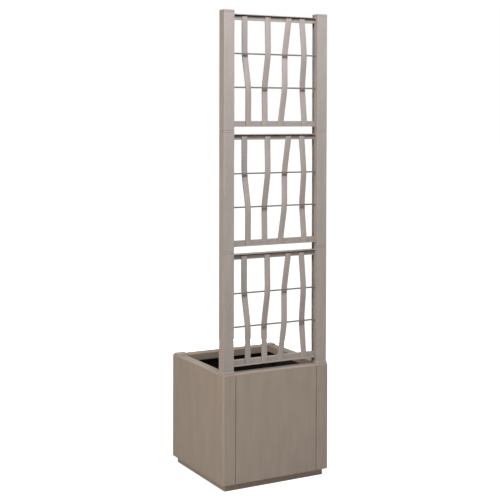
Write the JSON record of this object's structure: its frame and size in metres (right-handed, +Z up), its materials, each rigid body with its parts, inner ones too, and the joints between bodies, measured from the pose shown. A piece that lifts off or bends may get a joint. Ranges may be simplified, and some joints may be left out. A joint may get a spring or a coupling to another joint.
{
  "type": "planter with trellis",
  "caption": "Square free-standing planter box with a tall tiered trellis plugged into its front corners, with vertical slats woven past thin cross rods between hollow posts.",
  "frame": {"origin": "on the ground, under the middle of the box", "axes": "+Z up, +X along the trellis from the left post to the right post as seen from the front, +Y from the trellis back across the soil"},
  "size_m": [0.4, 0.385, 1.551],
  "materials": {
    "box_plastic": "matt taupe with a fine brushed wood texture",
    "trellis_plastic": "matt taupe with a fine brushed wood texture",
    "inner_plastic": "matt, dark"
  },
  "bodies": {
    "planter_box": {"plinth_tray": "box_plastic", "left_panel": "box_plastic", "right_panel": "box_plastic", "front_panel": "box_plastic", "back_panel": "box_plastic", "rim_frame": "box_plastic", "drain_floor": "inner_plastic", "front_left_tube": "inner_plastic", "front_right_tube": "inner_plastic", "back_left_tube": "inner_plastic", "back_right_tube": "inner_plastic"},
    "rear_cap_left": {"rear_cap_left": "box_plastic"},
    "rear_cap_right": {"rear_cap_right": "box_plastic"},
    "trellis_tier_1": {"foot_left": "trellis_plastic", "foot_right": "trellis_plastic", "tier_1_post_left": "trellis_plastic", "tier_1_post_right": "trellis_plastic", "tier_1_upper_rail": "trellis_plastic", "tier_1_lower_rail": "trellis_plastic", "tier_1_upper_rod": "trellis_plastic", "tier_1_lower_rod": "trellis_plastic", "tier_1_slat_one": "trellis_plastic", "tier_1_slat_two": "trellis_plastic", "tier_1_slat_three": "trellis_plastic", "tier_1_slat_four": "trellis_plastic"},
    "trellis_tier_2": {"joiner_1_left": "trellis_plastic", "joiner_1_right": "trellis_plastic", "tier_2_post_left": "trellis_plastic", "tier_2_post_right": "trellis_plastic", "tier_2_upper_rail": "trellis_plastic", "tier_2_lower_rail": "trellis_plastic", "tier_2_upper_rod": "trellis_plastic", "tier_2_lower_rod": "trellis_plastic", "tier_2_slat_one": "trellis_plastic", "tier_2_slat_two": "trellis_plastic", "tier_2_slat_three": "trellis_plastic", "tier_2_slat_four": "trellis_plastic"},
    "trellis_tier_3": {"joiner_2_left": "trellis_plastic", "joiner_2_right": "trellis_plastic", "tier_3_post_left": "trellis_plastic", "tier_3_post_right": "trellis_plastic", "tier_3_upper_rail": "trellis_plastic", "tier_3_lower_rail": "trellis_plastic", "tier_3_upper_rod": "trellis_plastic", "tier_3_lower_rod": "trellis_plastic", "tier_3_slat_one": "trellis_plastic", "tier_3_slat_two": "trellis_plastic", "tier_3_slat_three": "trellis_plastic", "tier_3_slat_four": "trellis_plastic", "post_cap_left": "trellis_plastic", "post_cap_right": "trellis_plastic"}
  },
  "joints": [
    {"name": "trellis_lifts_out", "type": "slide", "parent": "planter_box", "child": "trellis_tier_1", "axis": [0, 0, 1], "range_m": [0, 0.15]},
    {"name": "tier_2_lifts_off", "type": "slide", "parent": "trellis_tier_1", "child": "trellis_tier_2", "axis": [0, 0, 1], "range_m": [0, 0.07]},
    {"name": "tier_3_lifts_off", "type": "slide", "parent": "trellis_tier_2", "child": "trellis_tier_3", "axis": [0, 0, 1], "range_m": [0, 0.07]},
    {"name": "rear_cap_left_pulls_out", "type": "slide", "parent": "planter_box", "child": "rear_cap_left", "axis": [0, 0, 1], "range_m": [0, 0.04]},
    {"name": "rear_cap_right_pulls_out", "type": "slide", "parent": "planter_box", "child": "rear_cap_right", "axis": [0, 0, 1], "range_m": [0, 0.04]}
  ]
}
